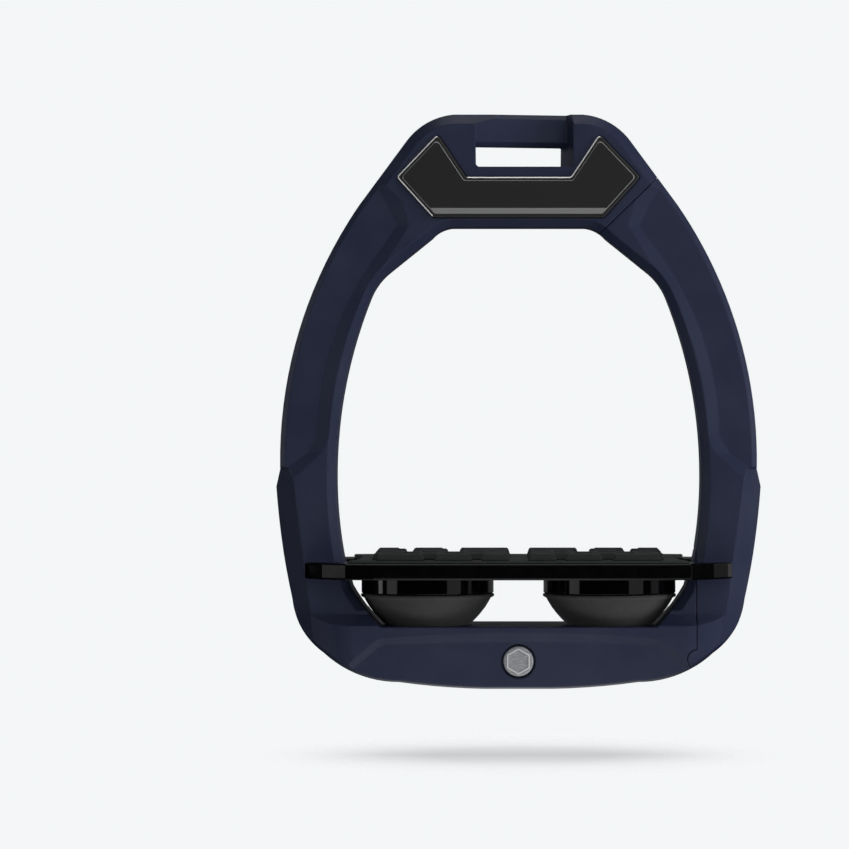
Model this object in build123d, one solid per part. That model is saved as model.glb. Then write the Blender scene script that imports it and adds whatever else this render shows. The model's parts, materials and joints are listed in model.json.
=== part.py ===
"""Safety stirrup iron with a hinged outer arm and an elastomer-sprung tread.

Millimetres. X runs across the iron (outer side +X), Y is its depth (toe side -Y) and Z is up.
The origin is the middle of the small flat under the base.
"""
from build123d import *
import os

# ---- frame, seen from the front --------------------------------------------------------
HEIGHT = 195.0            # base flat to the top of the leather bar
FOOT_FLAT = 12.0          # half length of the flat under the base
SHOULDER = (38.1, 185.9)  # where the top corner meets the arm's straight upper end
WAIST_Z = 75.0            # the arms widen below this height
WAIST_X = 80.8            # half width just above that step
BASE_TOP = 21.5           # upper face of the base
OPENING_TOP = 156.5       # underside of the top block

# ---- frame, seen from the side ---------------------------------------------------------
BASE_DEPTH = 20.0         # half depth of the base
ARM_FOOT_DEPTH = 14.5     # half depth of an arm where it leaves the base
ARM_FOOT_Z = 25.5
TOP_DEPTH = 8.0           # half depth at the leather bar
LEAN = (ARM_FOOT_DEPTH - TOP_DEPTH) / (HEIGHT - ARM_FOOT_Z)
DEPTH_AT_ZERO = ARM_FOOT_DEPTH + LEAN * ARM_FOOT_Z
PANEL_DEPTH = 1.6         # recess of the arm panels
FLANK_RUN = 7.5           # how far a lower flank runs outward
FLANK_DEPTH = 10.9        # and how deep it runs
FLANK_LEAN = 0.106        # sideways lean of the flanks
OUTER_CHAMFER = 3.4
INNER_CHAMFER = 2.8
CROWN_FROM = 8.0          # the outline of the foot shrinks from this depth out to the faces
CROWN_INSET = 1.3
CROWN_CENTRE_Z = 60.0     # the outline shrinks towards this height
FOOT_CHAMFER = 0.8
FOOT_PANEL_DEPTH = 0.8    # recess of the panels on the base

# ---- leather eye -----------------------------------------------------------------------
EYE_SIDE = 16.1           # half width of the window, along the bar
EYE_BOTTOM = 177.1
BAR_BOTTOM = 184.0
BAR_THICKNESS = 8.2
BAR_ANGLE = 14.0          # the bar and the leather lie at this angle to the iron
BAR_CHAMFER = 1.7
EYE_FILLET = 1.2

# ---- seams and the hinged outer arm ----------------------------------------------------
SEAM_X = 60.05            # upright seam at the arm's foot
SEAM_TOP_OUT = (46.7, 173.0)
SEAM_TOP_IN = (29.35, 156.1)
SEAM_GAP = 0.2
TONGUE = (4.2, 5.8)       # depths between which the top block laps into the arm
TONGUE_OUT = 0.8
TONGUE_CLEAR = 0.2
HINGE_Z = 10.8            # the hinge pin runs front to back through the foot of the seam
PIN_R = 1.5
BARREL_R = 3.1
BARREL_CLEAR = 0.2
SPRING_HALF = 3.4         # the closing spring fills the middle of the barrel
LUG_END = 8.0             # the base's lugs end here, and the arm's lugs begin
PIN_FRONT = 14.0          # the pin stops short of the front, so that it can't be seen there
PIN_BACK = 17.5
SPRING_WIRE = 0.35
SPRING_COIL_R = 2.2

# ---- ball catch in the slanted seam ----------------------------------------------------
BALL_R = 2.0
BALL_OUT = 0.95           # how far the ball stands out of the top block
CATCH_R = 3.0             # outer radius of the threaded sleeve
CATCH_BORE_R = 2.05
CATCH_LIP_R = 1.96        # a little under the ball, which it keeps in
CATCH_L = 14.0
CUP_R = 4.0               # steel cup in the arm that the ball drops into
CUP_H = 2.4

# ---- trim plate and badge --------------------------------------------------------------
TRIM_POCKET = 1.2
TRIM_THICKNESS = 2.4
TRIM_GAP = 0.15
TRIM_CORNER_R = 1.2
TRIM_BEVEL = 0.4
TRIM_FIELD_INSET = 1.15   # the raised field, inside the plate's own bevel
TRIM_FIELD_RISE = 0.4
TRIM_BAND = (160.5, 163.0)  # the field's wide lower bevel
MAGNET_R = 3.0
MAGNET_H = 2.0
MAGNET_X = 22.0
MAGNET_Z = 170.0
BADGE_R = 5.0
BADGE_Z = 10.0
BADGE_SEAT_R = 5.8
BADGE_HEX_R = 4.4
BADGE_HEX_WIDTH = 0.45

# ---- sprung tread ----------------------------------------------------------------------
ELASTOMER_X = 31.0
ELASTOMER_TOP_R = 22.7
ELASTOMER_FOOT_R = 14.3
ELASTOMER_TOP = 32.1
TREAD_BOTTOM = 37.9
TREAD_TOP = 43.4
TREAD_FRONT = 35.0        # half depth of the tread
WING_X = 71.9             # half length over the wings
WING_BACK = 17.6          # the wings start this far from mid depth
NOTCH_X = 55.4            # the tread is cut back to here between its wings
CUP_CHAMFER = 0.5
PAD_SHEET = 0.9
PAD_TOP = 46.6
CLEAT_PITCH = 9.3         # front to back
CLEAT_DEPTH = 7.0
CLEAT_SLOPE = 0.8
FRONT_CLEATS = ((3.0, 12.8), (15.4, 28.2), (31.5, 47.8))
MIDDLE_CLEATS = ((3.0, 19.6), (23.8, 34.2), (38.0, 49.2))
BACK_CLEATS = ((2.9, 20.8), (25.4, 36.9), (40.6, 49.2))
CUP_BOSS_Z = 29.4         # the caps' bosses reach down to here
TREAD_BAYS = (-10.0, 0.0, 10.0)
BASE_SCREW_R = 3.0        # M6
BASE_HEAD_R = 5.6
BASE_HEAD_Z = 1.4         # under side of the base screws' heads, inside the base
BASE_HEAD_H = 3.6
TREAD_SCREW_R = 2.5       # M5
TREAD_HEAD_R = 4.6
TREAD_HEAD_H = 2.7
INSERT_R = 3.6

FRONT = Plane(origin=(0, -DEPTH_AT_ZERO, 0), x_dir=(1, 0, 0), z_dir=(0, -1, LEAN))


def mirrored(edges):
    """Edges of the +X half with their mirror images."""
    return edges + [mirror(edge, about=Plane.YZ) for edge in edges]


def prism(sketch, half_depth):
    """A front-view sketch, extruded both ways from mid depth."""
    return extrude(Plane.XZ * sketch, amount=half_depth, both=True)


def front_and_back(solid):
    return [solid, mirror(solid, about=Plane.XZ)]


def left_and_right(solid):
    return [solid, mirror(solid, about=Plane.YZ)]


def rod(radius, start, end):
    """A round bar between two points."""
    axis = Vector(*end) - Vector(*start)
    face = Plane(origin=start, z_dir=axis) * Circle(radius)
    return extrude(face, amount=axis.length)


def outer_outline():
    edges = [
        Line((0, HEIGHT), (22, HEIGHT)),
        ThreePointArc((22, HEIGHT), (31.4, 192.0), SHOULDER),
        Line(SHOULDER, (54.0, 164.3)),
        ThreePointArc((54.0, 164.3), (67.2, 140.9), (WAIST_X, WAIST_Z)),
        Line((WAIST_X, WAIST_Z), (82.4, 68.5)),
        ThreePointArc((82.4, 68.5), (80.2, 48.0), (76.8, 30.4)),
        ThreePointArc((76.8, 30.4), (73.0, 19.6), (66.0, 12.2)),
        ThreePointArc((66.0, 12.2), (55.4, 5.3), (40.6, 2.3)),
        ThreePointArc((40.6, 2.3), (26.0, 0.7), (FOOT_FLAT, 0)),
        Line((FOOT_FLAT, 0), (0, 0)),
    ]
    return make_face(mirrored(edges))


def opening_outline():
    edges = [
        Line((0, OPENING_TOP), (22.5, OPENING_TOP)),
        ThreePointArc((22.5, OPENING_TOP), (26.4, 155.3), (29.5, 152.8)),
        Line((29.5, 152.8), (44.3, 140.9)),
        ThreePointArc((44.3, 140.9), (48.0, 136.8), (50.2, 132.7)),
        ThreePointArc((50.2, 132.7), (59.0, 103.0), (62.0, 72.0)),
        ThreePointArc((62.0, 72.0), (61.4, 58.0), (59.6, 44.8)),
        Line((59.6, 44.8), (56.6, 34.5)),
        ThreePointArc((56.6, 34.5), (52.5, 28.2), (46.7, BASE_TOP)),
        Line((46.7, BASE_TOP), (0, BASE_TOP)),
    ]
    return make_face(mirrored(edges))


def side_envelope():
    """The iron seen from the side: a deep base and arms that get thinner upward."""
    half = [(-BASE_DEPTH, -1), (-BASE_DEPTH, 22.0), (-ARM_FOOT_DEPTH, ARM_FOOT_Z), (-TOP_DEPTH, HEIGHT + 1)]
    other = [(-y, z) for y, z in reversed(half)]
    return extrude(Plane.YZ * make_face(Polyline(*half, *other, close=True)), amount=100, both=True)


def plan_outline(z):
    """The lower frame seen from above: a rounded toe edge and slanted flanks."""
    flank = 71.5 + FLANK_LEAN * (z - 38)
    edges = []
    for side in (-1, 1):
        quarter = [
            Line((0, side * BASE_DEPTH), (flank - 13.5, side * BASE_DEPTH)),
            ThreePointArc(
                (flank - 13.5, side * BASE_DEPTH),
                (flank - 5.2, side * 18.2),
                (flank, side * ARM_FOOT_DEPTH),
            ),
            Line((flank, side * ARM_FOOT_DEPTH), (flank + FLANK_RUN, side * (ARM_FOOT_DEPTH - FLANK_DEPTH))),
            Line((flank + FLANK_RUN, side * (ARM_FOOT_DEPTH - FLANK_DEPTH)), (flank + FLANK_RUN + 1.2, 0)),
        ]
        edges += mirrored(quarter)
    return Pos(0, 0, z) * make_face(edges)


def arm_panel_cut():
    """Cutter for the recessed panel on the front of the +X arm, with its sloped bank."""
    outer = [(92, 66), (92, 184)]
    rib = [(56, 181.5), (39.6, 165.6), (37.2, 157.2), (44.4, 145.7)]
    rib_foot = [(66.6, 80.4), (74.4, 72.9), (88, 66)]
    floor = [(50.1, 174.8), (44.4, 164.3), (40.9, 157.4), (49.2, 145.9)]
    floor_foot = [(71.6, 80.0), (79.3, 74.5), (88, 70.6)]

    def loop(upper, middle, waist, lower, lift):
        edges = [Line(a, b) for a, b in zip(upper, upper[1:])]
        edges.append(ThreePointArc(upper[-1], middle, waist))
        chain = [waist] + lower + outer + [upper[0]]
        edges += [Line(a, b) for a, b in zip(chain, chain[1:])]
        return FRONT.offset(lift) * make_face(edges)

    top = loop(rib, (57.3, 121.8), (63.9, 86.0), rib_foot, 0.0)
    bottom = loop(floor, (61.6, 121.8), (68.0, 86.0), floor_foot, -PANEL_DEPTH)
    cut = loft([top, bottom], ruled=True)
    return cut + extrude(top, amount=4)


def foot_crown():
    """The foot's bulged section: full size at mid depth, smaller towards its front and back."""
    body = prism(outer_outline(), CROWN_FROM)
    sections = [
        (CROWN_FROM, 0.0),
        (BASE_DEPTH - FOOT_CHAMFER, CROWN_INSET),
        (BASE_DEPTH, CROWN_INSET + FOOT_CHAMFER),
    ]
    faces = []
    for depth, inset in sections:
        outline = Pos(0, inset) * scale(outer_outline(), by=1 - inset / CROWN_CENTRE_Z)
        faces.append(Plane(origin=(0, -depth, 0), x_dir=(1, 0, 0), z_dir=(0, -1, 0)) * outline)
    for half in front_and_back(loft(faces, ruled=True)):
        body += half
    return body


def foot_envelope():
    """The space that the iron's foot and lower arms fill."""
    return loft([plan_outline(-6), plan_outline(WAIST_Z + 2)], ruled=True) & foot_crown()


def hinge_lobe(lug):
    """The part of a hinge lug that stays inside the iron's foot."""
    return lug & prism(outer_outline(), 30) & foot_envelope()


def base_panel_cut():
    """Cutter for the shallow panel on the front of the base."""
    def loop(crown, shoulder, corner, lower, foot, y):
        top = ThreePointArc((-shoulder[0], shoulder[1]), (0, crown), shoulder)
        right = [
            ThreePointArc(shoulder, corner, lower),
            Line(lower, foot),
            Line(foot, (foot[0], -3)),
        ]
        line = [top] + mirrored(right) + [Line((foot[0], -3), (-foot[0], -3))]
        return Plane(origin=(0, y, 0), x_dir=(1, 0, 0), z_dir=(0, -1, 0)) * make_face(line)

    face = loop(19.6, (44.0, 17.8), (47.2, 17.2), (49.6, 15.7), (61.5, 5.4), -BASE_DEPTH)
    floor = loop(16.6, (43.4, 15.8), (46.2, 15.3), (48.4, 13.9), (59.5, 4.4), FOOT_PANEL_DEPTH - BASE_DEPTH)
    return loft([face, floor], ruled=True) + extrude(face, amount=3)


def eye_window():
    """The window for the leather, from its floor up through the top of the iron."""
    height = HEIGHT + 2 - EYE_BOTTOM
    window = Box(2 * EYE_SIDE, 2 * TOP_DEPTH + 12, height)
    floor = window.edges().filter_by(Axis.Y).sort_by(Axis.Z)[:2]
    return Pos(0, 0, EYE_BOTTOM + height / 2) * fillet(floor, EYE_FILLET)


def leather_bar():
    """The bar over the window, with rounded corners where it meets the window's sides."""
    height = HEIGHT - BAR_BOTTOM
    bar = Box(2 * EYE_SIDE + 8, BAR_THICKNESS, height)
    bar = chamfer(bar.edges().filter_by(Axis.X), BAR_CHAMFER)
    bar = Pos(0, 0, BAR_BOTTOM + height / 2) * bar
    reach = BAR_THICKNESS / 2 - BAR_CHAMFER
    for side in (-1, 1):
        corner = Pos(side * EYE_SIDE, 0, BAR_BOTTOM) * Box(2 * EYE_FILLET, 2 * reach, 2 * EYE_FILLET)
        centre = side * (EYE_SIDE - EYE_FILLET)
        low = BAR_BOTTOM - EYE_FILLET
        bar += corner - rod(EYE_FILLET, (centre, -reach - 1, low), (centre, reach + 1, low))
    return bar


def trim_outline(inset=0.0):
    """The bow-tie outline of the plate on the top block."""
    half = [(29.0, 159.8), (41.5, 173.6), (27.4, 188.4), (17.7, 173.8)]
    points = half + [(-x, z) for x, z in reversed(half)]
    face = make_face(Polyline(*points, close=True))
    if inset:
        face = offset(face, amount=-inset, kind=Kind.INTERSECTION)
    return fillet(face.vertices(), TRIM_CORNER_R)


def opening_bevel():
    """Cutter for the bevel round the front of the opening, above the base."""
    past = 0.3
    face = FRONT * offset(opening_outline(), amount=INNER_CHAMFER, kind=Kind.INTERSECTION)
    narrow = offset(opening_outline(), amount=-past, kind=Kind.INTERSECTION)
    bevel = loft([face, FRONT.offset(-INNER_CHAMFER - past) * narrow], ruled=True)
    above_base = Pos(0, 0, 127) * Box(200, 60, 200)
    return (bevel + extrude(face, amount=4)) & above_base


def outer_edges(body):
    """The long outer edges of the arms and top block, front and back."""
    def is_outer(edge):
        at = edge.center()
        on_face = abs(abs(at.Y) - (DEPTH_AT_ZERO - LEAN * at.Z)) < 0.45
        return on_face and at.Z > WAIST_Z + 1 and (abs(at.X) > 66 or at.Z > 165)
    return body.edges().filter_by(is_outer)


def whole_frame():
    """Both arms, base and top block in one piece, before the outer arm is cut free."""
    body = prism(outer_outline() - opening_outline(), 30) & side_envelope()
    below_waist = Pos(0, 0, WAIST_Z / 2 - 5) * Box(200, 60, WAIST_Z + 10)
    body = (body & below_waist & foot_envelope()) + (body - below_waist)
    body = chamfer(outer_edges(body), OUTER_CHAMFER)
    for bevel in front_and_back(opening_bevel()):
        body -= bevel
    for cut in front_and_back(arm_panel_cut()):
        for side in left_and_right(cut):
            body -= side
    for cut in front_and_back(base_panel_cut()):
        body -= cut
    slant = Rot(0, 0, BAR_ANGLE)
    bar = body & (slant * leather_bar())
    return body - slant * eye_window() + bar


def seam_line():
    """Unit vector up the slanted seam, and the seam's middle."""
    inner = Vector(*SEAM_TOP_IN)
    outer = Vector(*SEAM_TOP_OUT)
    return (outer - inner).normalized(), (outer + inner) * 0.5


def catch_point(distance):
    """A point on the catch's axis, measured from the seam into the top block."""
    along, middle = seam_line()
    spot = middle + Vector(-along.Y, along.X) * distance
    return (spot.X, 0, spot.Y)


def catch_rod(radius, near, far):
    return rod(radius, catch_point(near), catch_point(far))


def hinge_rod(radius, y_start, y_end):
    return rod(radius, (SEAM_X, y_start, HINGE_Z), (SEAM_X, y_end, HINGE_Z))


def hinge_lugs(radius, y_start, y_end):
    """The same length of barrel in front of mid depth and behind it."""
    return front_and_back(hinge_rod(radius, y_start, y_end))


def arm_region(gap):
    """Everything on the outer arm's side of the seams, kept back from them by gap."""
    along, _ = seam_line()
    away = Vector(along.Y, -along.X) * gap
    inner = Vector(*SEAM_TOP_IN) - along * 9 + away
    outer = Vector(*SEAM_TOP_OUT) + along * 9 + away
    points = [
        (SEAM_X + gap, -5), (SEAM_X + gap, 50), (40, 60), (20, 120),
        (inner.X, inner.Y), (outer.X, outer.Y), (130, outer.Y), (130, -5),
    ]
    return prism(make_face(Polyline(*points, close=True)), 40)


def lap(front, back, out):
    """A strip along the slanted seam that reaches out into the arm, so that no light gets through."""
    strip = Pos(40, (front + back) / 2, 165) * Box(40, back - front, 40)
    return strip - arm_region(out)


def frame_body(whole):
    """The fixed casting: inner arm, base and top block."""
    body = whole - arm_region(-SEAM_GAP / 2)
    body += whole & lap(*TONGUE, TONGUE_OUT)
    body -= hinge_rod(BARREL_R + BARREL_CLEAR, -SPRING_HALF, SPRING_HALF)
    for lug in hinge_lugs(BARREL_R, SPRING_HALF, LUG_END):
        body += hinge_lobe(lug)
    for room in hinge_lugs(BARREL_R + BARREL_CLEAR, LUG_END, 25):
        body -= room
    body -= hinge_rod(PIN_R, -PIN_FRONT, 30)
    body -= spring_leg(SPRING_WIRE + 0.15, -1)
    body -= catch_rod(CATCH_R, -2, CATCH_L)
    body -= extrude(FRONT.offset(-TRIM_POCKET) * trim_outline(), amount=10)
    for magnet in left_and_right(trim_magnet()):
        body -= magnet
    body -= rod(BADGE_SEAT_R, (0, -BASE_DEPTH - 1, BADGE_Z), (0, 2.4 - BASE_DEPTH, BADGE_Z))
    for bore in left_and_right(base_screw(0.2)):
        body -= bore
    return body


def safety_arm(whole):
    """The outer arm, which swings outward about the pin at the foot of its seam."""
    body = whole & arm_region(SEAM_GAP / 2)
    body -= lap(TONGUE[0] - TONGUE_CLEAR, TONGUE[1] + TONGUE_CLEAR, TONGUE_OUT + TONGUE_CLEAR)
    body -= hinge_rod(BARREL_R + BARREL_CLEAR, -LUG_END - BARREL_CLEAR, LUG_END + BARREL_CLEAR)
    for lug in hinge_lugs(BARREL_R, LUG_END + BARREL_CLEAR, 25):
        body += hinge_lobe(lug)
    body -= hinge_rod(PIN_R + 0.04, -PIN_FRONT - 0.3, 30)
    body -= spring_leg(SPRING_WIRE + 0.15, 1)
    return body - catch_rod(CUP_R, 2, -CUP_H - SEAM_GAP / 2)


def hinge_pin():
    return hinge_rod(PIN_R, -PIN_FRONT, PIN_BACK)


def spring_leg(radius, side):
    """One leg of the closing spring: it reaches up into the base or into the arm."""
    start = (SEAM_X + side * SPRING_COIL_R, side * (SPRING_HALF - 0.6), HINGE_Z)
    end = (SEAM_X + side * (SPRING_COIL_R + 4.5), side * (SPRING_HALF - 0.6), HINGE_Z + 8.5)
    return rod(radius, start, end)


def arm_return_spring():
    """A torsion spring round the pin, between the base's lugs."""
    reach = SPRING_HALF - 0.6
    coil = Helix(pitch=2 * reach / 5.5, height=2 * reach, radius=SPRING_COIL_R)
    section = Plane(origin=coil @ 0, z_dir=coil % 0) * Circle(SPRING_WIRE)
    body = sweep(section, path=coil)
    body = Pos(SEAM_X, reach, HINGE_Z) * Rot(90, 0, 0) * body
    return body


def catch_sleeve():
    """The threaded sleeve of the ball catch, with a lip that keeps the ball in."""
    body = catch_rod(CATCH_R, SEAM_GAP / 2, CATCH_L)
    body -= catch_rod(CATCH_BORE_R, SEAM_GAP / 2 + 0.5, CATCH_L - 1.5)
    return body - catch_rod(CATCH_LIP_R, 0, SEAM_GAP / 2 + 1)


def ball_centre():
    return catch_point(SEAM_GAP / 2 + BALL_R - BALL_OUT)


def catch_ball():
    return Pos(*ball_centre()) * Sphere(BALL_R)


def catch_spring():
    near = SEAM_GAP / 2 + 2 * BALL_R - BALL_OUT + 0.25
    far = CATCH_L - 1.6
    coil = Helix(pitch=(far - near - 0.5) / 6, height=far - near - 0.5, radius=1.45)
    section = Plane(origin=coil @ 0, z_dir=coil % 0) * Circle(0.22)
    along, _ = seam_line()
    axis = Vector(-along.Y, 0, along.X)
    return Plane(origin=catch_point(near + 0.25), z_dir=axis) * sweep(section, path=coil)


def catch_cup():
    """The steel cup in the arm's end face, with a shallow cone for the ball."""
    face = -SEAM_GAP / 2
    body = catch_rod(CUP_R, face, face - CUP_H)
    along, _ = seam_line()
    axis = Vector(along.Y, 0, -along.X)
    cone = Plane(origin=catch_point(face - 0.6), z_dir=axis) * Cone(2.7, 0.1, 1.25)
    return body - cone


def trim_plate():
    """The bow-tie plate on the front of the top block: a bevelled rim round a raised field."""
    plate = extrude(FRONT.offset(-TRIM_POCKET) * trim_outline(TRIM_GAP), amount=TRIM_THICKNESS)
    plate = chamfer(plate.faces().sort_by(Axis.Y)[0].edges(), TRIM_BEVEL)
    stand = TRIM_THICKNESS - TRIM_POCKET
    foot = FRONT.offset(stand - 0.2) * trim_outline(TRIM_FIELD_INSET)
    top = FRONT.offset(stand + TRIM_FIELD_RISE) * trim_outline(TRIM_FIELD_INSET + TRIM_FIELD_RISE)
    field = loft([foot, top], ruled=True)
    low, high = TRIM_BAND
    face_low = -DEPTH_AT_ZERO + LEAN * low - stand
    face_high = -DEPTH_AT_ZERO + LEAN * high - stand - TRIM_FIELD_RISE
    in_front = face_high - 1
    slope = Polyline((face_low, low), (face_high, high), (in_front, high), (in_front, low), close=True)
    return plate + (field - extrude(Plane.YZ * make_face(slope), amount=60, both=True))


def trim_magnet():
    """Blind bore and magnet share this size, behind the trim plate."""
    seat = FRONT.offset(-TRIM_POCKET - MAGNET_H) * Pos(MAGNET_X, MAGNET_Z)
    return extrude(seat * Circle(MAGNET_R), amount=MAGNET_H)


def badge():
    """The round badge in the front of the base, with a raised six-sided field."""
    front = -BASE_DEPTH + 0.3
    body = rod(BADGE_R, (0, front, BADGE_Z), (0, 2.4 - BASE_DEPTH, BADGE_Z))
    body = chamfer(body.faces().sort_by(Axis.Y)[0].edges(), 0.4)
    face = Plane(origin=(0, front, BADGE_Z), x_dir=(1, 0, 0), z_dir=(0, -1, 0))
    ring = RegularPolygon(BADGE_HEX_R, 6, rotation=90)
    ring -= RegularPolygon(BADGE_HEX_R - BADGE_HEX_WIDTH, 6, rotation=90)
    return body + extrude(face * ring, amount=0.25)


def base_screw(clearance=0.0):
    """One screw from under the base into the elastomer's lower insert."""
    def upright(radius, low, high):
        return rod(radius + clearance, (ELASTOMER_X, 0, low), (ELASTOMER_X, 0, high))

    head = upright(BASE_HEAD_R, BASE_HEAD_Z, BASE_HEAD_Z + BASE_HEAD_H)
    if clearance:
        head += upright(BASE_HEAD_R, -2, BASE_HEAD_Z + 1)
    else:
        head -= Pos(ELASTOMER_X, 0, BASE_HEAD_Z) * extrude(RegularPolygon(2.3, 6), amount=2.4)
    return head + upright(BASE_SCREW_R, BASE_HEAD_Z + 2, BASE_TOP + 3.6)


def lower_insert():
    """Steel plate with a threaded boss, bonded into the foot of an elastomer."""
    body = rod(11.5, (ELASTOMER_X, 0, BASE_TOP), (ELASTOMER_X, 0, BASE_TOP + 1.6))
    body += rod(5.0, (ELASTOMER_X, 0, BASE_TOP), (ELASTOMER_X, 0, BASE_TOP + 4.4))
    return body - rod(BASE_SCREW_R, (ELASTOMER_X, 0, BASE_TOP - 1), (ELASTOMER_X, 0, BASE_TOP + 3.6))


def elastomer():
    """A rubber bowl that widens upward, with a thin lip round its top."""
    side = [
        Line((0, BASE_TOP), (ELASTOMER_FOOT_R, BASE_TOP)),
        ThreePointArc((ELASTOMER_FOOT_R, BASE_TOP), (18.6, 26.0), (21.9, 31.2)),
        Line((21.9, 31.2), (ELASTOMER_TOP_R, 31.5)),
        Line((ELASTOMER_TOP_R, 31.5), (ELASTOMER_TOP_R, ELASTOMER_TOP)),
        Line((ELASTOMER_TOP_R, ELASTOMER_TOP), (0, ELASTOMER_TOP)),
        Line((0, ELASTOMER_TOP), (0, BASE_TOP)),
    ]
    body = Pos(ELASTOMER_X, 0, 0) * revolve(Plane.XZ * make_face(side), Axis.Z)
    body -= rod(11.5, (ELASTOMER_X, 0, BASE_TOP), (ELASTOMER_X, 0, BASE_TOP + 1.6))
    body -= rod(5.0, (ELASTOMER_X, 0, BASE_TOP), (ELASTOMER_X, 0, BASE_TOP + 4.4))
    return body - rod(8.2, (ELASTOMER_X, 0, CUP_BOSS_Z), (ELASTOMER_X, 0, ELASTOMER_TOP))


def elastomer_cup():
    """The hard cap on an elastomer, with a boss that is bonded into the rubber."""
    body = rod(ELASTOMER_TOP_R - 0.2, (ELASTOMER_X, 0, ELASTOMER_TOP), (ELASTOMER_X, 0, TREAD_BOTTOM))
    body = chamfer(body.faces().sort_by(Axis.Z)[0].edges(), CUP_CHAMFER)
    body += rod(8.0, (ELASTOMER_X, 0, CUP_BOSS_Z + 0.2), (ELASTOMER_X, 0, ELASTOMER_TOP))
    return body - rod(INSERT_R, (ELASTOMER_X, 0, CUP_BOSS_Z + 1.2), (ELASTOMER_X, 0, TREAD_BOTTOM))


def threaded_insert():
    """Brass insert in a cap, for the tread screw."""
    body = rod(INSERT_R, (ELASTOMER_X, 0, CUP_BOSS_Z + 1.2), (ELASTOMER_X, 0, TREAD_BOTTOM))
    return body - rod(TREAD_SCREW_R, (ELASTOMER_X, 0, CUP_BOSS_Z + 1.7), (ELASTOMER_X, 0, TREAD_BOTTOM))


def tread_screw(clearance=0.0):
    """One screw from the tread's upper face into a cap."""
    def upright(radius, low, high):
        return rod(radius + clearance, (ELASTOMER_X, 0, low), (ELASTOMER_X, 0, high))

    top = TREAD_TOP - 0.1 + 4 * clearance
    body = upright(TREAD_SCREW_R, CUP_BOSS_Z + 1.8, TREAD_TOP - 2)
    body += upright(TREAD_HEAD_R, TREAD_TOP - 0.1 - TREAD_HEAD_H - clearance, top)
    if not clearance:
        body -= Pos(ELASTOMER_X, 0, top - 1.6) * extrude(RegularPolygon(1.9, 6), amount=2)
    return body


def quarter_to_full(points):
    """Close an outline given by its +X, -Y quarter, by mirroring it both ways."""
    right = points + [(x, -y) for x, y in reversed(points)]
    left = [(-x, y) for x, y in reversed(right)]
    return make_face(Polyline(*right, *left, close=True))


def tread_outline():
    return quarter_to_full([
        (48.3, -TREAD_FRONT), (57.8, -33.2), (65.5, -28.0), (70.4, -21.9), (WING_X, -19.4),
        (WING_X, -WING_BACK), (NOTCH_X + 1.5, -WING_BACK), (NOTCH_X, -WING_BACK + 1.5),
    ])


def tread_plate():
    """The tread: a flat plate whose wings reach round both arms, front and back."""
    body = Pos(0, 0, TREAD_BOTTOM) * extrude(tread_outline(), amount=TREAD_TOP - TREAD_BOTTOM)
    body = chamfer(body.faces().sort_by(Axis.Z)[-1].outer_wire().edges(), 0.5)
    body = chamfer(body.faces().sort_by(Axis.Z)[0].outer_wire().edges(), 0.5)
    for screw in left_and_right(tread_screw(0.15)):
        body -= screw
    for rib_bay in TREAD_BAYS:
        bay = Pos(rib_bay, 0, TREAD_BOTTOM) * Box(8, 30, 6)
        body -= bay
    return body


def grip_pad():
    """The rubber pad: a sheet that follows the tread's edge, with staggered rows of cleats."""
    sheet_outline = quarter_to_full([(48.1, -34.5), (57.4, -32.7), (53.5, -15.5)])
    body = Pos(0, 0, TREAD_TOP) * extrude(sheet_outline, amount=PAD_SHEET)
    rows = [FRONT_CLEATS, MIDDLE_CLEATS, FRONT_CLEATS, MIDDLE_CLEATS, BACK_CLEATS, MIDDLE_CLEATS, BACK_CLEATS]
    for index, cleats in enumerate(rows):
        y = (index - (len(rows) - 1) / 2) * CLEAT_PITCH
        for start, end in cleats:
            for side in (-1, 1):
                body += cleat(side * (start + end) / 2, y, end - start)
    return body


def cleat(x, y, length):
    """One cleat: a block whose sides slope in towards its top."""
    lower = Pos(x, y, TREAD_TOP + PAD_SHEET / 2) * Rectangle(length, CLEAT_DEPTH)
    upper = Pos(x, y, PAD_TOP) * Rectangle(length - 2 * CLEAT_SLOPE, CLEAT_DEPTH - 2 * CLEAT_SLOPE)
    return loft([lower, upper], ruled=True)


def pieces():
    """Every separate piece, by its name."""
    whole = whole_frame()
    elastomers = left_and_right(elastomer())
    cups = left_and_right(elastomer_cup())
    inserts = left_and_right(lower_insert())
    return {
        "frame_body": frame_body(whole),
        "safety_arm": safety_arm(whole),
        "arm_hinge_pin": hinge_pin(),
        "arm_return_spring": arm_return_spring(),
        "catch_sleeve": catch_sleeve(),
        "catch_ball": catch_ball(),
        "catch_spring": catch_spring(),
        "catch_cup": catch_cup(),
        "trim_plate": trim_plate(),
        "trim_magnets": Compound(children=left_and_right(trim_magnet())),
        "badge": badge(),
        "base_screws": Compound(children=left_and_right(base_screw())),
        "lower_insert_right": inserts[0],
        "lower_insert_left": inserts[1],
        "elastomer_right": elastomers[0],
        "elastomer_left": elastomers[1],
        "elastomer_cup_right": cups[0],
        "elastomer_cup_left": cups[1],
        "threaded_inserts": Compound(children=left_and_right(threaded_insert())),
        "tread_plate": tread_plate(),
        "tread_screws": Compound(children=left_and_right(tread_screw())),
        "grip_pad": grip_pad(),
    }


os.makedirs("parts", exist_ok=True)
for name, shape in pieces().items():
    export_step(shape, f"parts/{name}.step")
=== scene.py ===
"""Looks for the safety stirrup iron: materials, rubber parts, light and camera round the fixed CAD frame."""
import json
import math

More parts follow.
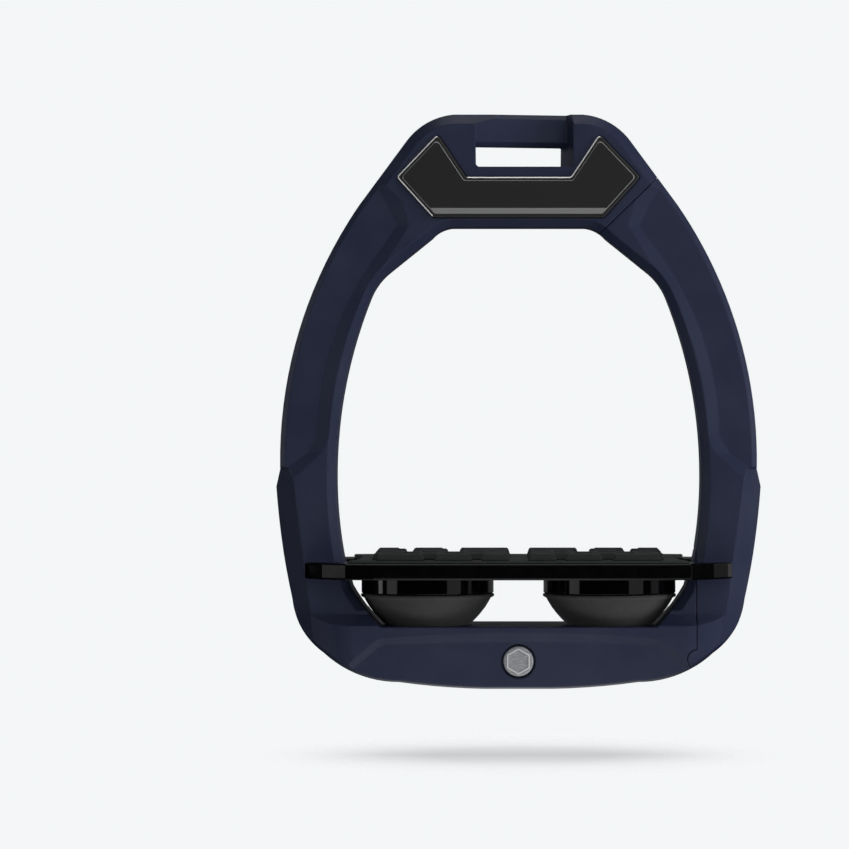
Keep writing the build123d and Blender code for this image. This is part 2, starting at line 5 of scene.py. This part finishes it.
import bmesh
import bpy
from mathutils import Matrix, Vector


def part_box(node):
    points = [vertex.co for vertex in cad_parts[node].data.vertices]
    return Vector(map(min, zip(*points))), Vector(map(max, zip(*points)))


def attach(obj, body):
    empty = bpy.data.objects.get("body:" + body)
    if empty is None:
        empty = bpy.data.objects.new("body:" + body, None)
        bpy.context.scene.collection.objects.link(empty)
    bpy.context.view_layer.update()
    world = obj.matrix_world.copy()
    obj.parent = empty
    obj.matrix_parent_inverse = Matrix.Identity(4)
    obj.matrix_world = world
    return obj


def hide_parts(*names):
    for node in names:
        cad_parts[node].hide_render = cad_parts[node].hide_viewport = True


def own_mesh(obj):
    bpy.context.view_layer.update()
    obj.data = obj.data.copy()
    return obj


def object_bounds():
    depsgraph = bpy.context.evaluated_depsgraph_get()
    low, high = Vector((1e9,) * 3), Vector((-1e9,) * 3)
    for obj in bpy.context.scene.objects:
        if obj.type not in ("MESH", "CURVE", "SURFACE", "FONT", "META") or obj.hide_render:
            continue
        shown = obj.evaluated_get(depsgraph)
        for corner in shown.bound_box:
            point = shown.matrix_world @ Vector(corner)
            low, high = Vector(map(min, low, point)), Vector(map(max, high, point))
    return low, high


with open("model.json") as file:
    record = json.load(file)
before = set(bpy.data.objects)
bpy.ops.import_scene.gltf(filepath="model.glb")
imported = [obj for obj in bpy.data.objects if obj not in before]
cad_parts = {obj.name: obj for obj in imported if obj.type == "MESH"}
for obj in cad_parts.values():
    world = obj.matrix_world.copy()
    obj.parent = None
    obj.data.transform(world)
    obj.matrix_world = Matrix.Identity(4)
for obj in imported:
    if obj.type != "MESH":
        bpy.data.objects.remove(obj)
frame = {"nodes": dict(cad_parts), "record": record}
start_low, start_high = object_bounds()

NAVY = (0.0150, 0.0190, 0.0420)
NAVY_LIGHT = (0.0300, 0.0340, 0.0600)
BLACK = (0.0014, 0.0014, 0.0016)
RUBBER = (0.0180, 0.0200, 0.0200)
CUSHION = (0.0420, 0.0420, 0.0430)
TRIM_FACE = (0.0180, 0.0180, 0.0182)
# Painted highlight: the grey that the trim plate's bevels are given
TRIM_BEVEL_GLINT = (0.1700, 0.1720, 0.1720)
TRIM_RIM = (0.0300, 0.0300, 0.0310)
# The badge's raised line, and the painted white glint on the trim rim's upper-left sides
SILVER_AND_PAINTED_GLINT = (0.9000, 0.9000, 0.9000)
BADGE_DARK = (0.30, 0.31, 0.33)
BADGE_PALE = (0.48, 0.49, 0.52)

TRIM_NORMAL = (0.0, -0.99927, 0.03832)    # the way that the trim plate's face looks
TRIM_GLINT_SIDE = (-0.77, -0.52, 0.36)   # the way that the rim's sides with the painted white glint look
TRIM_RIM_TOP = (0.01665, 0.01675)         # along TRIM_NORMAL, where the rim ends and the bevels begin
BADGE_LINE = (0.01975, 0.01990)           # along -Y, where the badge's field ends and its line begins

MM = 1000                                 # millimetres in a metre
CREASE_ANGLE = 40                         # an edge that turns by more degrees than this stays sharp

STUDIO_WHITE = (0.905, 0.922, 0.930)
FLOOR_ALBEDO = (0.80, 0.80, 0.80)
SHADOW_SHARE = 0.36                       # the part of the floor's brightness that the iron shades
FLOOR_FADE = (0.03, 0.09)                 # the distances between which the floor fades away

# Azimuth 0 is in front of the iron, and +90 is to its right in the picture.
# Name, azimuth, elevation, width and height in metres, light given to a surface facing it.
SOFTBOXES = (
    ("key_right", 75, 5, (0.5, 0.6), 3.4),
    ("front", 14, 20, (0.8, 0.6), 1.0),
    ("left", -50, 0, (0.5, 0.5), 0.5),
    ("below", 0, -50, (0.8, 0.6), 1.1),
    ("above", 50, 65, (0.6, 0.5), 1.0),
    ("behind", 165, 15, (0.8, 0.8), 2.8),
    ("behind_left", -140, 20, (0.8, 0.8), 2.2),
)
# Name, first and last azimuth, lower and upper edge in metres, brightness.
CARDS = (
    ("left_card", (-74, -54), -0.1, 0.7, 0.46),
    ("low_front_card", (-14, 34), -0.6, -0.24, 1.0),
    ("left_edge_card", (-98, -84), -0.1, 0.7, 1.0),
    ("right_card", (34, 60), -0.1, 0.7, 0.28),
    ("right_far_card", (76, 110), -0.1, 0.7, 0.16),
    ("back_right_card", (112, 126), -0.1, 0.9, 0.45),
    ("back_card", (126, 220), -0.1, 0.9, 0.09),
)


# ---- materials ---------------------------------------------------------------------------

class Shader:
    """A small wrapper for building one material's nodes."""

    def __init__(self, name):
        self.material = bpy.data.materials.new(name)
        self.material.use_nodes = True
        self.nodes = self.material.node_tree.nodes
        self.links = self.material.node_tree.links
        self.nodes.clear()
        self.surface = self.nodes.new("ShaderNodeBsdfPrincipled")
        output = self.nodes.new("ShaderNodeOutputMaterial")
        self.links.new(self.surface.outputs[0], output.inputs["Surface"])
        self.place = self.nodes.new("ShaderNodeTexCoord").outputs["Object"]

    def set(self, **values):
        """Sets the surface's inputs. An underscore stands for a space in an input's name."""
        for name, value in values.items():
            socket = self.surface.inputs[name.replace("_", " ")]
            socket.default_value = (*value, 1) if isinstance(value, tuple) else value

    def noise(self, scale, detail=3.0, stretch=None):
        """Noise over the object, squeezed along each axis by the numbers in stretch."""
        node = self.nodes.new("ShaderNodeTexNoise")
        node.inputs["Scale"].default_value = scale
        node.inputs["Detail"].default_value = detail
        node.inputs["Roughness"].default_value = 0.5
        source = self.place
        if stretch:
            mapping = self.nodes.new("ShaderNodeMapping")
            mapping.inputs["Scale"].default_value = stretch
            self.links.new(source, mapping.inputs["Vector"])
            source = mapping.outputs[0]
        self.links.new(source, node.inputs["Vector"])
        return node.outputs["Fac"]

    def spread(self, value, low, high, to_low=0.0, to_high=1.0):
        """Maps one range of a value, which may be reversed, to another, and holds its ends."""
        node = self.nodes.new("ShaderNodeMapRange")
        node.inputs["From Min"].default_value = low
        node.inputs["From Max"].default_value = high
        node.inputs["To Min"].default_value = to_low
        node.inputs["To Max"].default_value = to_high
        self.links.new(value, node.inputs["Value"])
        return node.outputs[0]

    def along(self, direction, source=None):
        """How far a vector reaches along a direction. The vector is the point's place by default."""
        dot = self.nodes.new("ShaderNodeVectorMath")
        dot.operation = "DOT_PRODUCT"
        dot.inputs[1].default_value = direction
        self.links.new(self.place if source is None else source, dot.inputs[0])
        return dot.outputs["Value"]

    def facing(self, direction, zero_at, one_at):
        """0 to 1 between two values of how far a flat face's normal reaches along a direction."""
        normal = self.nodes.new("ShaderNodeNewGeometry").outputs["True Normal"]
        return self.spread(self.along(direction, normal), zero_at, one_at)

    def blend(self, factor, first, second):
        """Mixes two colours, each a fixed colour or another node's output."""
        node = self.nodes.new("ShaderNodeMix")
        node.data_type = "RGBA"
        for side, value in (("A", first), ("B", second)):
            if isinstance(value, tuple):
                node.inputs[side].default_value = (*value, 1)
            else:
                self.links.new(value, node.inputs[side])
        self.links.new(factor, node.inputs["Factor"])
        return node.outputs["Result"]

    def colour(self, output):
        self.links.new(output, self.surface.inputs["Base Color"])

    def rough(self, output):
        self.links.new(output, self.surface.inputs["Roughness"])

    def relief(self, height, distance, round_radius=0.0):
        """Bump, on top of softly rounded edges where a radius is given."""
        bump = self.nodes.new("ShaderNodeBump")
        bump.inputs["Distance"].default_value = distance
        bump.inputs["Strength"].default_value = 1.0
        self.links.new(height, bump.inputs["Height"])
        if round_radius:
            bevel = self.nodes.new("ShaderNodeBevel")
            bevel.samples = 8
            bevel.inputs["Radius"].default_value = round_radius
            self.links.new(bevel.outputs[0], bump.inputs["Normal"])
        self.links.new(bump.outputs[0], self.surface.inputs["Normal"])


def navy_composite():
    """The frame and the arm: satin navy moulding with a fine grain and soft, lighter mottling."""
    shader = Shader("navy_composite")
    grain = shader.noise(2600, detail=2)
    mottle = shader.spread(shader.noise(60, detail=4), 0.35, 0.7, 0.0, 0.35)
    shader.colour(shader.blend(mottle, NAVY, NAVY_LIGHT))
    shader.rough(shader.spread(shader.noise(140, detail=3), 0.3, 0.7, 0.36, 0.46))
    shader.relief(grain, 0.00002, round_radius=0.0008)
    shader.set(Specular_IOR_Level=0.5)
    return shader.material


def gloss_black():
    """The caps under the tread: gloss black with a thin clear coat."""
    shader = Shader("gloss_black")
    shader.set(Base_Color=BLACK, Coat_Weight=0.4, Coat_Roughness=0.03)
    shader.rough(shader.spread(shader.noise(300, detail=4), 0.4, 0.75, 0.07, 0.13))
    shader.relief(shader.noise(900, detail=2), 0.000002, round_radius=0.00025)
    return shader.material


def trim_black():
    """The trim plate: a fine-grained black face, a painted grey highlight on its bevels, and a painted white
    glint on the rim where it faces the upper left.
    """
    shader = Shader("trim_black")
    tilted = shader.facing(TRIM_NORMAL, 0.993, 0.988)
    # Painted highlight: the rim's sides that face up and to the left are painted white, as a glint of light
    # from there
    glint_side = shader.facing(TRIM_GLINT_SIDE, 0.50, 0.62)
    rim = shader.blend(glint_side, TRIM_RIM, SILVER_AND_PAINTED_GLINT)
    # Painted highlight: the bevels above the rim are painted a lighter grey, as if they caught the light
    above_rim = shader.spread(shader.along(TRIM_NORMAL), *TRIM_RIM_TOP)
    edges = shader.blend(above_rim, rim, TRIM_BEVEL_GLINT)
    shader.colour(shader.blend(tilted, TRIM_FACE, edges))
    shader.rough(shader.spread(shader.noise(300, detail=2), 0.3, 0.7, 0.30, 0.38))
    shader.relief(shader.noise(1500, detail=1), 0.000003)
    return shader.material


def badge_silver():
    """The badge: brushed grey metal with a bright raised six-sided line."""
    shader = Shader("badge_silver")
    raised = shader.spread(shader.along((0, -1, 0)), *BADGE_LINE)
    brushed = shader.spread(shader.noise(500, stretch=(1, 1, 14)), 0.3, 0.7, 0.0, 1.0)
    field = shader.blend(brushed, BADGE_DARK, BADGE_PALE)
    shader.colour(shader.blend(raised, field, SILVER_AND_PAINTED_GLINT))
    shader.set(Metallic=0.4)
    shader.rough(shader.spread(brushed, 0.0, 1.0, 0.18, 0.3))
    shader.relief(shader.noise(1500, stretch=(1, 1, 10)), 0.000002)
    return shader.material


def tread_black():
    """The tread plate: a glossy black moulding."""
    shader = Shader("tread_black")
    shader.set(Base_Color=BLACK)
    shader.rough(shader.spread(shader.noise(200, detail=4), 0.4, 0.7, 0.12, 0.2))
    shader.relief(shader.noise(1200, detail=2), 0.000004, round_radius=0.0005)
    return shader.material


def rubber(name, colour, roughness, shine, sheen):
    """Moulded rubber, slightly mottled, with a fine grain."""
    shader = Shader(name)
    shader.set(Specular_IOR_Level=shine, Sheen_Weight=sheen)
    shade = shader.spread(shader.noise(500, detail=5), 0.3, 0.7, 0.0, 0.3)
    shader.colour(shader.blend(shade, colour, tuple(c * 1.5 for c in colour)))
    shader.rough(shader.spread(shader.noise(250), 0.3, 0.7, roughness - 0.05, roughness + 0.07))
    shader.relief(shader.noise(3000, detail=3), 0.00003, round_radius=0.0004)
    return shader.material


def metal(name, colour, roughness):
    """Bare metal with faint machining lines."""
    shader = Shader(name)
    shader.set(Base_Color=colour, Metallic=1.0)
    lines = shader.noise(400, stretch=(1, 1, 12))
    shader.rough(shader.spread(lines, 0.3, 0.7, roughness - 0.04, roughness + 0.08))
    shader.relief(shader.noise(1500, stretch=(1, 1, 10)), 0.000002, round_radius=0.0002)
    return shader.material


def dress_frame():
    """Gives every CAD node the material of its record slot, and the trim plate one of its own."""
    looks = {
        "navy_composite": navy_composite(),
        "gloss_black": gloss_black(),
        "tread_black": tread_black(),
        "grip_rubber": rubber("grip_rubber", RUBBER, 0.5, shine=0.5, sheen=0.0),
        "elastomer": rubber("elastomer", CUSHION, 0.7, shine=0.15, sheen=0.12),
        "steel": metal("steel", (0.50, 0.50, 0.52), 0.28),
        "spring_steel": metal("spring_steel", (0.32, 0.32, 0.34), 0.35),
        "magnet": metal("magnet", (0.60, 0.60, 0.60), 0.15),
        "polished": badge_silver(),
        "brass": metal("brass", (0.60, 0.42, 0.16), 0.3),
    }
    trim = trim_black()
    for part in frame["record"]["subparts"]:
        node = frame["nodes"][part["node"]]
        node.data.materials.clear()
        look = trim if part["node"] == "trim_plate" else looks[part["material_slot"]]
        node.data.materials.append(look)
    return looks


# ---- pieces that stand for CAD nodes: the bowls, the grip mat and the catch's coil ---------

def add_piece(name, draft, material, slot, body, *nodes):
    """Turns a bmesh into a smooth-shaded piece that rides on a body and stands for the CAD nodes."""
    bmesh.ops.recalc_face_normals(draft, faces=draft.faces)
    mesh = bpy.data.meshes.new(name)
    draft.to_mesh(mesh)
    draft.free()
    mesh.materials.append(material)
    mesh.polygons.foreach_set("use_smooth", [True] * len(mesh.polygons))
    mesh.set_sharp_from_angle(angle=math.radians(CREASE_ANGLE))
    obj = bpy.data.objects.new(name, mesh)
    bpy.context.collection.objects.link(obj)
    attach(obj, body)
    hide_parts(*nodes)
    return obj


def bowl_profile():
    """(radius, height) points round half of an elastomer's section, in millimetres.

    They go from the middle of the foot's pocket out to the foot, up the outer side, round the
    lip, and in to the middle of the cap's pocket.
    """
    foot, belly, neck = (14.3, 21.5), (19.0, 25.6), (21.6, 30.7)
    side = []
    for step in range(13):
        t = step / 12
        weights = ((1 - t) ** 2, 2 * t * (1 - t), t * t)
        side.append(tuple(sum(w * p[i] for w, p in zip(weights, (foot, belly, neck))) for i in (0, 1)))
    lip = [(22.2, 30.95), (22.55, 31.15), (22.7, 31.4), (22.7, 31.75), (22.55, 31.98), (22.2, 32.1)]
    cap_pocket = [(8.2, 32.1), (8.2, 28.6), (0.0, 28.6)]
    foot_pocket = [(0.0, 25.9), (5.05, 25.9), (5.05, 23.1), (11.55, 23.1), (11.55, 21.5), (13.9, 21.5)]
    return foot_pocket + side + lip + cap_pocket


def elastomer_bowl(side, material):
    """A moulded rubber bowl with a rolled lip and a thin moulding line half way up."""
    node = "elastomer_" + side
    low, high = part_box(node)
    middle = (Vector(low) + Vector(high)) / 2
    steps = 144
    line_height, line_half, line_proud = 27.2, 0.45, 0.05
    pocket_radius = 15        # no pocket is as wide, so the line is only on the outer side
    draft = bmesh.new()
    rings = []
    for radius, height in bowl_profile():
        on_line = abs(height - line_height) < line_half and radius > pocket_radius
        out = (radius + (line_proud if on_line else 0.0)) / MM
        points = []
        for step in range(steps if radius > 0 else 1):
            turn = 2 * math.pi * step / steps
            spot = (middle.x + out * math.cos(turn), middle.y + out * math.sin(turn), height / MM)
            points.append(draft.verts.new(spot))
        rings.append(points)
    for near, far in zip(rings, rings[1:]):
        for step in range(steps):
            corners = [near[step % len(near)], near[(step + 1) % len(near)]]
            corners += [far[(step + 1) % len(far)], far[step % len(far)]]
            corners = list(dict.fromkeys(corners))
            if len(corners) > 2:
                draft.faces.new(corners)
    bowl = add_piece("rubber_bowl_" + side, draft, material, "elastomer", "frame", node)
    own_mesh(bowl)


def block(draft, lower, upper, bottom, top):
    """A closed block between two outlines with the same number of corners, in millimetres."""
    low = [draft.verts.new((x / MM, y / MM, bottom / MM)) for x, y in lower]
    high = [draft.verts.new((x / MM, y / MM, top / MM)) for x, y in upper]
    draft.faces.new(list(reversed(low)))
    draft.faces.new(high)
    count = len(low)
    for i in range(count):
        j = (i + 1) % count
        draft.faces.new((low[i], low[j], high[j], high[i]))


def rectangle(x_from, x_to, y_from, y_to):
    return [(x_from, y_from), (x_to, y_from), (x_to, y_to), (x_from, y_to)]


def grip_mat(material):
    """The moulded mat: a thin sheet and staggered rows of cleats, with softly rounded edges."""
    sheet_bottom, sheet_top, cleat_top = 43.4, 44.3, 46.6
    cleat_sunk = 0.1          # how far the cleats reach into the sheet
    quarter = [(48.1, -34.5), (57.4, -32.7), (53.5, -15.5)]
    right = quarter + [(x, -y) for x, y in reversed(quarter)]
    outline = right + [(-x, y) for x, y in reversed(right)]
    draft = bmesh.new()
    block(draft, outline, [(x * 0.995, y * 0.992) for x, y in outline], sheet_bottom, sheet_top)
    # Each row lists where its cleats start and end on the right half.
    front = ((3.0, 12.8), (15.4, 28.2), (31.5, 47.8))
    middle = ((3.0, 19.6), (23.8, 34.2), (38.0, 49.2))
    back = ((2.9, 20.8), (25.4, 36.9), (40.6, 49.2))
    rows = (front, middle, front, middle, back, middle, back)
    half, slope, pitch = 3.5, 0.8, 9.3
    for index, row in enumerate(rows):
        y = (index - len(rows) // 2) * pitch
        for start, end in row:
            for side in (-1, 1):
                x_from, x_to = sorted((side * start, side * end))
                lower = rectangle(x_from, x_to, y - half, y + half)
                upper = rectangle(x_from + slope, x_to - slope, y - half + slope, y + half - slope)
                block(draft, lower, upper, sheet_top - cleat_sunk, cleat_top)
    shortest, rounding = 0.001, 0.00028
    edges = [e for e in draft.edges if e.calc_length() > shortest]
    bmesh.ops.bevel(draft, geom=edges, offset=rounding, segments=2, affect="EDGES", clamp_overlap=True)
    add_piece("rubber_grip_mat", draft, material, "grip_rubber", "tread", "grip_pad")


def catch_coil(material):
    """The catch's coil spring."""
    along = Vector((0.7164, 0.0, 0.6977))
    inward = Vector((-0.6977, 0.0, 0.7164))
    across = Vector((0.0, 1.0, 0.0))
    seam_middle = Vector((38.025, 0.0, 164.55))
    near, far = 3.65, 12.15   # the coil's two ends, inward from the seam
    wire, radius = 0.22, 1.45
    turns, steps, sides = 6, 28, 10
    draft = bmesh.new()
    rings = []
    for step in range(turns * steps + 1):
        turn = 2 * math.pi * step / steps
        outward = along * math.cos(turn) + across * math.sin(turn)
        depth = near + (far - near) * step / (turns * steps)
        centre = seam_middle + inward * depth + outward * radius
        ring = []
        for side in range(sides):
            angle = 2 * math.pi * side / sides
            spot = centre + (outward * math.cos(angle) + inward * math.sin(angle)) * wire
            ring.append(draft.verts.new(spot / MM))
        rings.append(ring)
    for ring, following in zip(rings, rings[1:]):
        for side in range(sides):
            after = (side + 1) % sides
            draft.faces.new((ring[side], ring[after], following[after], following[side]))
    draft.faces.new(rings[0])
    draft.faces.new(rings[-1])
    coil = add_piece("catch_coil", draft, material, "spring_steel", "frame", "catch_spring")
    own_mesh(coil)


# ---- stage -------------------------------------------------------------------------------

def emitter(name, strength):
    """A material that only gives off white light."""
    material = bpy.data.materials.new(name)
    material.use_nodes = True
    nodes = material.node_tree.nodes
    nodes.clear()
    glow = nodes.new("ShaderNodeEmission")
    glow.inputs["Color"].default_value = (1, 1, 1, 1)
    glow.inputs["Strength"].default_value = strength
    output = nodes.new("ShaderNodeOutputMaterial")
    material.node_tree.links.new(glow.outputs[0], output.inputs["Surface"])
    return material


def stage_mesh(name, corners, faces, material):
    """Adds a mesh that belongs to the stage and not to the iron."""
    mesh = bpy.data.meshes.new(name)
    mesh.from_pydata(corners, [], faces)
    obj = bpy.data.objects.new(name, mesh)
    bpy.context.collection.objects.link(obj)
    mesh.materials.append(material)
    return obj


def stage_square(name, half, height, material):
    """A level square on the stage, centred over the origin."""
    corners = [(x, y, height) for x, y in rectangle(-half, half, -half, half)]
    return stage_mesh(name, corners, [(0, 1, 2, 3)], material)


def pale_floor():
    """A pale floor just under the iron, which fades into the pale background."""
    drop, reach = 0.023, 0.9
    shader = Shader("floor")
    shader.set(Base_Color=FLOOR_ALBEDO, Roughness=1.0, Specular_IOR_Level=0.0)
    shader.set(Emission_Color=STUDIO_WHITE, Emission_Strength=1 - SHADOW_SHARE)
    nodes, links = shader.nodes, shader.links
    distance = nodes.new("ShaderNodeVectorMath")
    distance.operation = "LENGTH"
    links.new(shader.place, distance.inputs[0])
    fade = shader.spread(distance.outputs["Value"], *FLOOR_FADE)
    clear = nodes.new("ShaderNodeBsdfTransparent")
    mixed = nodes.new("ShaderNodeMixShader")
    links.new(fade, mixed.inputs[0])
    links.new(shader.surface.outputs[0], mixed.inputs[1])
    links.new(clear.outputs[0], mixed.inputs[2])
    output = next(node for node in nodes if node.type == "OUTPUT_MATERIAL")
    links.new(mixed.outputs[0], output.inputs["Surface"])
    floor = stage_square("floor", reach, 0, shader.material)
    floor.location = (0, 0, -drop)
    floor.visible_shadow = False
    return floor


def only_in_reflections(obj):
    obj.visible_camera = False
    obj.visible_diffuse = False
    obj.visible_shadow = False


def reflector(name, azimuth, low, high, strength):
    """A curved wall of light that only shows in reflections."""
    radius, steps = 1.3, 12
    first, last = azimuth
    corners, faces = [], []
    for step in range(steps + 1):
        turn = math.radians(first + (last - first) * step / steps)
        for height in (low, high):
            corners.append((radius * math.sin(turn), -radius * math.cos(turn), height))
        if step:
            faces.append((2 * step - 2, 2 * step, 2 * step + 1, 2 * step - 1))
    only_in_reflections(stage_mesh(name, corners, faces, emitter(name, strength)))


def overhead_card():
    """A square card of light above the iron, for the gloss of its upward faces."""
    half, height, strength = 0.35, 1.1, 0.8
    glow = emitter("overhead_card", strength)
    only_in_reflections(stage_square("overhead_card", half, height, glow))


def softbox(name, azimuth, elevation, size, irradiance):
    """An area light aimed at the iron, which doesn't show in reflections."""
    reach = 0.9
    middle = (start_low + start_high) / 2
    az, el = math.radians(azimuth), math.radians(elevation)
    towards = Vector((math.sin(az) * math.cos(el), -math.cos(az) * math.cos(el), math.sin(el)))
    light = bpy.data.lights.new(name, "AREA")
    light.shape = "RECTANGLE"
    light.size, light.size_y = size
    light.energy = irradiance * math.pi * reach ** 2
    obj = bpy.data.objects.new(name, light)
    obj.location = middle + towards * reach
    obj.rotation_euler = (-towards).to_track_quat("-Z", "Y").to_euler()
    obj.visible_glossy = False
    bpy.context.collection.objects.link(obj)
    return obj


def floor_light(floor):
    """Light from straight above that only the floor receives, for the soft shadow under the iron."""
    sun = bpy.data.lights.new("floor_light", "SUN")
    sun.energy = SHADOW_SHARE * STUDIO_WHITE[1] * math.pi / FLOOR_ALBEDO[1]
    sun.angle = math.radians(66)
    obj = bpy.data.objects.new("floor_light", sun)
    bpy.context.collection.objects.link(obj)
    lit = bpy.data.collections.new("lit_floor")
    lit.objects.link(floor)
    obj.light_linking.receiver_collection = lit


def lights(floor):
    """Lights the floor apart from the iron, and hangs the cards that its gloss reflects."""
    floor_light(floor)
    boxes = [softbox(*box) for box in SOFTBOXES]
    others = bpy.data.collections.new("not_the_floor")
    others.objects.link(floor)
    for linked in others.collection_objects:
        linked.light_linking.link_state = "EXCLUDE"
    for box in boxes:
        box.light_linking.receiver_collection = others
    for card in CARDS:
        reflector(*card)
    overhead_card()


def background():
    """A pale background, which neither lights the iron nor shows in its gloss."""
    world = bpy.data.worlds.new("studio")
    world.use_nodes = True
    world.node_tree.nodes["Background"].inputs["Color"].default_value = (*STUDIO_WHITE, 1)
    world.node_tree.nodes["Background"].inputs["Strength"].default_value = 1.0
    world.cycles_visibility.diffuse = False
    world.cycles_visibility.glossy = False
    bpy.context.scene.world = world
    bpy.context.scene.view_settings.view_transform = "Standard"


def camera():
    """A long lens, level with the middle of the iron, which sits right of centre in the picture."""
    distance = 1.5
    picture_width = 0.2895    # how much the picture shows from side to side, at the iron
    data = bpy.data.cameras.new("camera")
    data.sensor_width = 36
    data.lens = data.sensor_width * distance / picture_width
    data.shift_x = -0.1107
    data.shift_y = -0.0359
    data.clip_end = 20
    obj = bpy.data.objects.new("camera", data)
    obj.location = (0, -distance, 0.100)
    obj.rotation_euler = (math.radians(90), 0, 0)
    bpy.context.collection.objects.link(obj)
    bpy.context.scene.camera = obj


camera()
looks = dress_frame()
elastomer_bowl("right", looks["elastomer"])
elastomer_bowl("left", looks["elastomer"])
grip_mat(looks["grip_rubber"])
catch_coil(looks["spring_steel"])
lights(pale_floor())
background()
